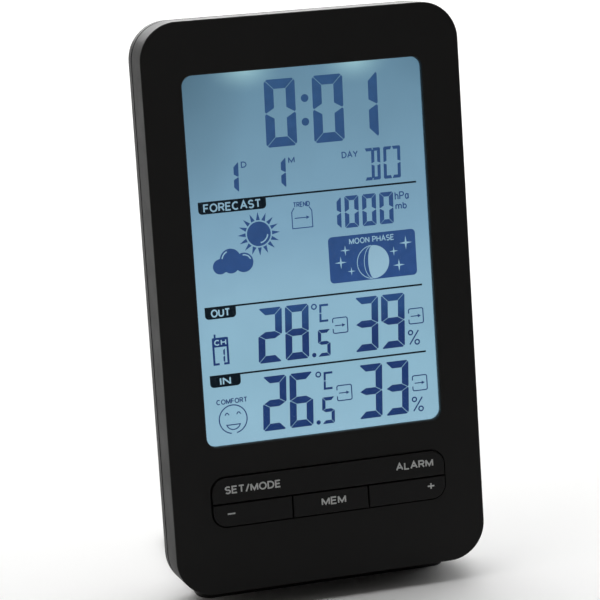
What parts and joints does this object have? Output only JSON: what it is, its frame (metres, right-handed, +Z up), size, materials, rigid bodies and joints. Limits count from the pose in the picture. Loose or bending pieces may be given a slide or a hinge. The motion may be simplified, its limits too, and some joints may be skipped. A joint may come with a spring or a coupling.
{
  "type": "home weather station",
  "caption": "Leaning desktop weather display console with a tall backlit screen, a key pad, a battery bay with a hinged door and a plug-in stand.",
  "frame": {"origin": "on the table, under the middle of the whole station", "axes": "+Z up, +X to the viewer's right, the display faces -Y and leans back by 12.3 degrees"},
  "size_m": [0.092, 0.0602, 0.1635],
  "materials": {
    "face_plastic": "fine matte moulded",
    "rear_plastic": "satin moulded",
    "stand_plastic": "satin moulded",
    "key_plastic": "matte with printed labels",
    "window_plastic": "clear moulded window",
    "lcd_glass": "clear glass",
    "polarizer_film": "tinted film",
    "diffuser": "frosted white film",
    "backlight": "lit clear guide",
    "reflector": "white film",
    "frame_plastic": "white moulded",
    "silicone": "soft silicone",
    "conductive_rubber": "carbon filled",
    "zebra_rubber": "layered elastomer",
    "circuit_board": "green solder mask",
    "epoxy": "glossy black drop",
    "component_black": "moulded package",
    "component_metal": "plated can",
    "led": "white package",
    "copper": "enamelled wire",
    "wire_insulation": "soft vinyl",
    "ribbon": "flat cable",
    "cell_jacket": "shrunk plastic sleeve",
    "spring_steel": "nickel plated",
    "screw_steel": "zinc plated"
  },
  "bodies": {
    "console": {"front_cover": "face_plastic", "rear_cover": "rear_plastic", "display_window": "window_plastic", "front_polarizer": "polarizer_film", "lcd_front_glass": "lcd_glass", "lcd_rear_glass": "lcd_glass", "rear_polarizer": "polarizer_film", "diffuser_sheet": "diffuser", "light_guide": "backlight", "reflector_sheet": "reflector", "contact_strip": "zebra_rubber", "lcd_frame": "frame_plastic", "backlight_board": "circuit_board", "backlight_leds": "led", "main_board": "circuit_board", "controller_chip": "epoxy", "clock_crystals": "component_metal", "board_capacitors": "component_metal", "receiver_board": "circuit_board", "receiver_chip": "component_black", "receiver_coils": "copper", "pressure_sensor": "component_metal", "sensor_board": "circuit_board", "humidity_sensor": "component_black", "temperature_sensor": "epoxy", "buzzer": "component_black", "antenna_wire": "wire_insulation", "key_mat": "silicone", "key_board": "circuit_board", "key_ribbon": "ribbon", "battery_upper": "cell_jacket", "battery_lower": "cell_jacket", "battery_springs": "spring_steel", "battery_contacts": "spring_steel", "battery_leads": "wire_insulation", "housing_screws": "screw_steel", "frame_screws": "screw_steel", "key_board_screws": "screw_steel", "board_screws": "screw_steel"},
    "stand": {"stand": "stand_plastic"},
    "mode_alarm_key": {"mode_alarm_key": "key_plastic", "mode_alarm_pills": "conductive_rubber"},
    "minus_key": {"minus_key": "key_plastic", "minus_pill": "conductive_rubber"},
    "mem_key": {"mem_key": "key_plastic", "mem_pill": "conductive_rubber"},
    "plus_key": {"plus_key": "key_plastic", "plus_pill": "conductive_rubber"},
    "battery_door": {"battery_door": "rear_plastic"}
  },
  "joints": [
    {"name": "console_lift", "type": "slide", "parent": "stand", "child": "console", "axis": [0, 0.213, 0.977], "range_m": [0, 0.018]},
    {"name": "mode_alarm_rock", "type": "hinge", "parent": "console", "child": "mode_alarm_key", "pos_m": [0, -0.02139, 0.03457], "axis": [0, 0.213, 0.977], "range_deg": [-0.8, 0.8], "stiffness_Nm_per_rad": 3.2},
    {"name": "minus_press", "type": "slide", "parent": "console", "child": "minus_key", "axis": [0, 0.977, -0.213], "range_m": [0, 0.0005], "stiffness_N_per_m": 3000},
    {"name": "mem_press", "type": "slide", "parent": "console", "child": "mem_key", "axis": [0, 0.977, -0.213], "range_m": [0, 0.0005], "stiffness_N_per_m": 3000},
    {"name": "plus_press", "type": "slide", "parent": "console", "child": "plus_key", "axis": [0, 0.977, -0.213], "range_m": [0, 0.0005], "stiffness_N_per_m": 3000},
    {"name": "battery_door_hinge", "type": "hinge", "parent": "console", "child": "battery_door", "pos_m": [0, -0.00622, 0.00722], "axis": [-1, 0, 0], "range_deg": [0, 75]}
  ]
}
